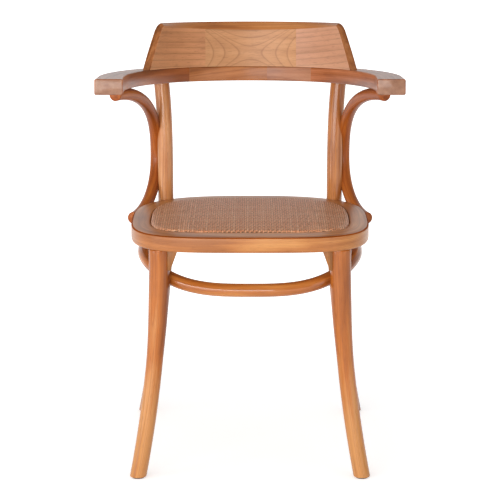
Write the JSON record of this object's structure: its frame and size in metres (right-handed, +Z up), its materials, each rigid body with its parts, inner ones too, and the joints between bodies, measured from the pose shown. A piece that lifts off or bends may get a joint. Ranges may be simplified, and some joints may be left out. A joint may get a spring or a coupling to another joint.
{
  "type": "armchair",
  "caption": "Bentwood bistro armchair with a curved flat arm rail, low curved back board, woven rattan seat, curved side braces and a stretcher hoop.",
  "frame": {"origin": "on the floor, at the middle of the chair's outer box", "axes": "+Z up, the chair faces -Y, +X is the right-hand side seen from the front"},
  "size_m": [0.5592, 0.514, 0.8023],
  "materials": {
    "stained_wood": "honey-brown stained hardwood with satin lacquer",
    "plywood": "raw plywood",
    "rattan": "close-woven brown rattan",
    "dowel_wood": "raw beech",
    "steel": "zinc plated",
    "nylon": "matt dark nylon"
  },
  "bodies": {
    "root": {"seat_ring": "stained_wood", "seat_board": "plywood", "rattan_panel": "rattan", "front_leg_left": "stained_wood", "front_leg_right": "stained_wood", "rear_leg_left": "stained_wood", "rear_leg_right": "stained_wood", "knee_block_left": "stained_wood", "knee_block_right": "stained_wood", "hoop": "stained_wood", "arm_brace_left": "stained_wood", "arm_brace_right": "stained_wood", "arm_left": "stained_wood", "arm_right": "stained_wood", "back_rail_left": "stained_wood", "back_rail_right": "stained_wood", "back_board": "stained_wood", "rail_dowels": "dowel_wood", "board_dowels": "dowel_wood", "board_screws": "steel", "leg_bolts": "steel", "leg_bolt_washers": "steel", "leg_bolt_nuts": "steel", "hoop_screws": "steel", "brace_arm_screws": "steel", "brace_post_screws": "steel", "brace_seat_screws": "steel", "block_screws": "steel", "glides": "nylon"}
  },
  "joints": []
}
